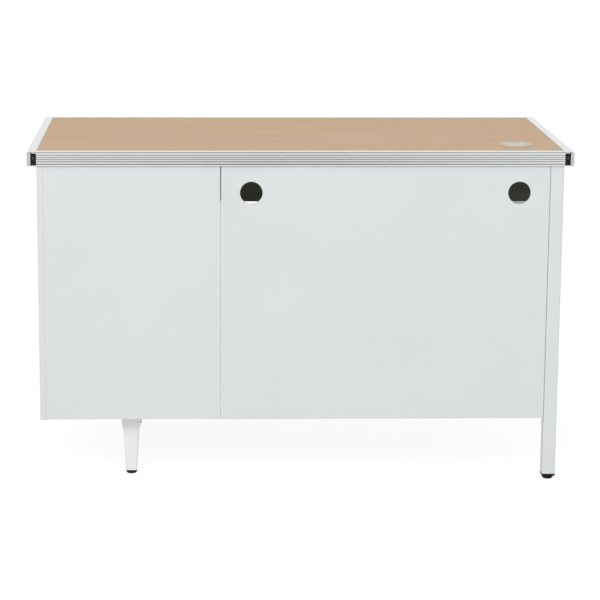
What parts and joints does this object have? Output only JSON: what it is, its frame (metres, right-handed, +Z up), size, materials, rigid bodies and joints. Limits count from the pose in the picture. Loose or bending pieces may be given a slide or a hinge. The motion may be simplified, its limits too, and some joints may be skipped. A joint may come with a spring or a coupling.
{
  "type": "metal office desk",
  "caption": "Steel office desk with a drawer pedestal, a centre drawer, a gang lock, a modesty panel with cable holes and a wood-laminate worktop in fluted aluminium edging.",
  "frame": {"origin": "on the floor under the middle of the worktop", "axes": "+X along the width towards the tube legs, +Y from the modesty panel towards the user's side, +Z up"},
  "size_m": [1.2, 0.6, 0.7525],
  "materials": {
    "white_steel": "cool white powder coat, satin",
    "grey_steel": "charcoal powder coat",
    "zinc_steel": "zinc plated",
    "aluminium": "satin anodised extrusion",
    "laminate": "matt wood-grain laminate",
    "chipboard": "raw chipboard",
    "black_plastic": "moulded, fine texture",
    "beige_plastic": "moulded, satin",
    "nylon": "natural nylon",
    "nickel": "satin nickel",
    "handle_metal": "satin aluminium bar"
  },
  "bodies": {
    "desk_frame": {"pedestal_outer_side": "white_steel", "pedestal_inner_side": "white_steel", "pedestal_back_panel": "white_steel", "pedestal_floor": "white_steel", "pedestal_lock_rail": "white_steel", "modesty_panel": "white_steel", "knee_front_rail": "white_steel", "rear_leg_tube": "white_steel", "front_leg_tube": "white_steel", "leg_frame_rail": "white_steel", "rear_tapered_leg": "white_steel", "front_tapered_leg": "white_steel", "centre_drawer_left_runner": "grey_steel", "centre_drawer_right_runner": "grey_steel", "top_drawer_left_runner": "zinc_steel", "top_drawer_right_runner": "zinc_steel", "middle_drawer_left_runner": "zinc_steel", "middle_drawer_right_runner": "zinc_steel", "file_drawer_left_runner": "zinc_steel", "file_drawer_right_runner": "zinc_steel", "rear_edge_trim": "aluminium", "front_edge_trim": "aluminium", "left_edge_trim": "aluminium", "right_edge_trim": "aluminium", "worktop_laminate": "laminate", "worktop_board": "chipboard", "rear_left_end_cap": "black_plastic", "rear_right_end_cap": "black_plastic", "front_left_end_cap": "black_plastic", "front_right_end_cap": "black_plastic", "rear_leg_plug": "black_plastic", "front_leg_plug": "black_plastic", "grommet_liner": "beige_plastic"},
    "top_drawer": {"top_drawer_front": "white_steel", "top_drawer_tray": "grey_steel", "top_drawer_handle": "handle_metal"},
    "top_left_roller": {"top_drawer_left_roller": "nylon"},
    "top_right_roller": {"top_drawer_right_roller": "nylon"},
    "middle_drawer": {"middle_drawer_front": "white_steel", "middle_drawer_tray": "grey_steel", "middle_drawer_handle": "handle_metal"},
    "middle_left_roller": {"middle_drawer_left_roller": "nylon"},
    "middle_right_roller": {"middle_drawer_right_roller": "nylon"},
    "file_drawer": {"file_drawer_front": "white_steel", "file_drawer_tray": "grey_steel", "file_drawer_handle": "handle_metal"},
    "file_left_roller": {"file_drawer_left_roller": "nylon"},
    "file_right_roller": {"file_drawer_right_roller": "nylon"},
    "centre_drawer": {"centre_drawer_front": "white_steel", "centre_drawer_tray": "grey_steel", "centre_drawer_handle": "handle_metal"},
    "centre_left_roller": {"centre_drawer_left_roller": "nylon"},
    "centre_right_roller": {"centre_drawer_right_roller": "nylon"},
    "lock_cylinder": {"lock_cylinder": "nickel"},
    "lock_bar": {"lock_bar": "zinc_steel"},
    "grommet_shutter": {"grommet_shutter": "beige_plastic"},
    "rear_right_glide": {"rear_right_glide": "black_plastic"},
    "front_right_glide": {"front_right_glide": "black_plastic"},
    "rear_left_glide": {"rear_left_glide": "black_plastic"},
    "front_left_glide": {"front_left_glide": "black_plastic"}
  },
  "joints": [
    {"name": "top_drawer_slide", "type": "slide", "parent": "desk_frame", "child": "top_drawer", "axis": [0, 1, 0], "range_m": [0, 0.38]},
    {"name": "top_left_roller_spin", "type": "hinge", "parent": "desk_frame", "child": "top_left_roller", "pos_m": [-0.573, 0.222, 0.6466], "axis": [1, 0, 0], "continuous": true},
    {"name": "top_right_roller_spin", "type": "hinge", "parent": "desk_frame", "child": "top_right_roller", "pos_m": [-0.185, 0.222, 0.6466], "axis": [1, 0, 0], "continuous": true},
    {"name": "middle_drawer_slide", "type": "slide", "parent": "desk_frame", "child": "middle_drawer", "axis": [0, 1, 0], "range_m": [0, 0.38]},
    {"name": "middle_left_roller_spin", "type": "hinge", "parent": "desk_frame", "child": "middle_left_roller", "pos_m": [-0.573, 0.222, 0.5236], "axis": [1, 0, 0], "continuous": true},
    {"name": "middle_right_roller_spin", "type": "hinge", "parent": "desk_frame", "child": "middle_right_roller", "pos_m": [-0.185, 0.222, 0.5236], "axis": [1, 0, 0], "continuous": true},
    {"name": "file_drawer_slide", "type": "slide", "parent": "desk_frame", "child": "file_drawer", "axis": [0, 1, 0], "range_m": [0, 0.38]},
    {"name": "file_left_roller_spin", "type": "hinge", "parent": "desk_frame", "child": "file_left_roller", "pos_m": [-0.573, 0.222, 0.4006], "axis": [1, 0, 0], "continuous": true},
    {"name": "file_right_roller_spin", "type": "hinge", "parent": "desk_frame", "child": "file_right_roller", "pos_m": [-0.185, 0.222, 0.4006], "axis": [1, 0, 0], "continuous": true},
    {"name": "centre_drawer_slide", "type": "slide", "parent": "desk_frame", "child": "centre_drawer", "axis": [0, 1, 0], "range_m": [0, 0.3]},
    {"name": "centre_left_roller_spin", "type": "hinge", "parent": "desk_frame", "child": "centre_left_roller", "pos_m": [-0.172, 0.222, 0.6666], "axis": [1, 0, 0], "continuous": true},
    {"name": "centre_right_roller_spin", "type": "hinge", "parent": "desk_frame", "child": "centre_right_roller", "pos_m": [0.544, 0.222, 0.6666], "axis": [1, 0, 0], "continuous": true},
    {"name": "lock_turn", "type": "hinge", "parent": "desk_frame", "child": "lock_cylinder", "pos_m": [-0.214, 0.27, 0.7029], "axis": [0, -1, 0], "range_deg": [0, 90]},
    {"name": "lock_bar_lift", "type": "slide", "parent": "desk_frame", "child": "lock_bar", "axis": [0, 0, 1], "range_m": [0, 0.0113]},
    {"name": "grommet_shutter_turn", "type": "hinge", "parent": "desk_frame", "child": "grommet_shutter", "pos_m": [0.487, -0.188, 0.7495], "axis": [0, 0, 1], "continuous": true},
    {"name": "rear_right_glide_turn", "type": "hinge", "parent": "desk_frame", "child": "rear_right_glide", "pos_m": [0.565, -0.277, 0], "axis": [0, 0, 1], "continuous": true},
    {"name": "front_right_glide_turn", "type": "hinge", "parent": "desk_frame", "child": "front_right_glide", "pos_m": [0.565, 0.255, 0], "axis": [0, 0, 1], "continuous": true},
    {"name": "rear_left_glide_turn", "type": "hinge", "parent": "desk_frame", "child": "rear_left_glide", "pos_m": [-0.379, -0.22, 0], "axis": [0, 0, 1], "continuous": true},
    {"name": "front_left_glide_turn", "type": "hinge", "parent": "desk_frame", "child": "front_left_glide", "pos_m": [-0.379, 0.198, 0], "axis": [0, 0, 1], "continuous": true}
  ],
  "couplings": [
    {"joint": "top_left_roller_spin", "follows": "top_drawer_slide", "rad_per_m": -111.11},
    {"joint": "top_right_roller_spin", "follows": "top_drawer_slide", "rad_per_m": -111.11},
    {"joint": "middle_left_roller_spin", "follows": "middle_drawer_slide", "rad_per_m": -111.11},
    {"joint": "middle_right_roller_spin", "follows": "middle_drawer_slide", "rad_per_m": -111.11},
    {"joint": "file_left_roller_spin", "follows": "file_drawer_slide", "rad_per_m": -111.11},
    {"joint": "file_right_roller_spin", "follows": "file_drawer_slide", "rad_per_m": -111.11},
    {"joint": "centre_left_roller_spin", "follows": "centre_drawer_slide", "rad_per_m": -111.11},
    {"joint": "centre_right_roller_spin", "follows": "centre_drawer_slide", "rad_per_m": -111.11},
    {"joint": "lock_turn", "follows": "lock_bar_lift", "rad_per_m": 138.84}
  ]
}
